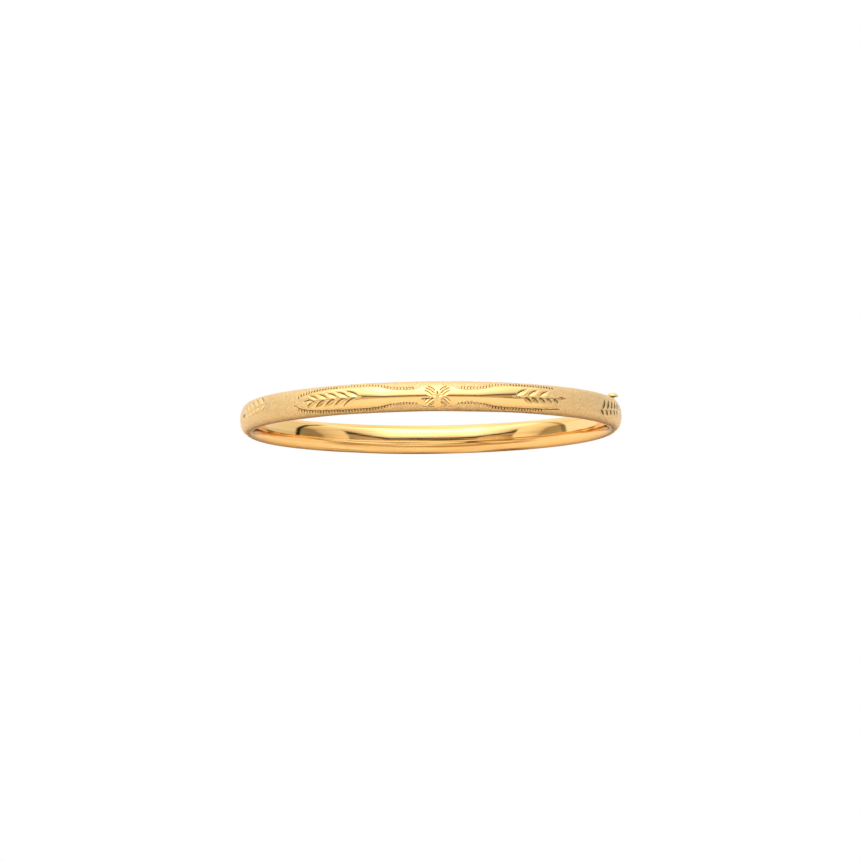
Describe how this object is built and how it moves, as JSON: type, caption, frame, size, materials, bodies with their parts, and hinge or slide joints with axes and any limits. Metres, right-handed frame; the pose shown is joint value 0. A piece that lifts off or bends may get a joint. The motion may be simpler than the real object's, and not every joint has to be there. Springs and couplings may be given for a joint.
{
  "type": "hinged bangle bracelet",
  "caption": "Hinged oval bangle in hollow oval tube: engraved satin front half, plain polished back half, barrel hinge and tongue clasp with a thumb button.",
  "frame": {"origin": "centre of the wrist opening, at mid-height of the band", "axes": "+Z along the wrist axis towards the thumb button, +X from the hinge to the clasp, +Y towards the plain back half"},
  "size_m": [0.0624, 0.056, 0.0059],
  "materials": {
    "satin_gold": "engraved satin yellow gold",
    "polished_gold": "polished yellow gold",
    "hinge_gold": "polished yellow gold",
    "clasp_gold": "work-hardened yellow gold, brushed",
    "button_gold": "polished yellow gold"
  },
  "bodies": {
    "front_half": {"front_outer_shell": "satin_gold", "front_inner_shell": "polished_gold", "front_hinge_cap": "polished_gold", "front_clasp_cap": "polished_gold", "catch_box": "clasp_gold", "front_upper_knuckle": "hinge_gold", "front_lower_knuckle": "hinge_gold", "hinge_pin": "hinge_gold"},
    "back_half": {"back_outer_shell": "polished_gold", "back_inner_shell": "polished_gold", "back_hinge_cap": "polished_gold", "back_clasp_cap": "polished_gold", "back_knuckle": "hinge_gold", "tongue_base_leaf": "clasp_gold"},
    "catch_spring": {"tongue_spring_leaf": "clasp_gold", "button_post": "clasp_gold", "button_head": "button_gold"}
  },
  "joints": [
    {"name": "bangle_hinge", "type": "hinge", "parent": "front_half", "child": "back_half", "pos_m": [-0.0305, 0, 0], "axis": [0, 0, 1], "range_deg": [0, 48]},
    {"name": "button_press", "type": "hinge", "parent": "back_half", "child": "catch_spring", "pos_m": [0, -0.005, -0.0002], "axis": [-1, 0, 0], "range_deg": [0, 5], "stiffness_Nm_per_rad": 0.03}
  ]
}
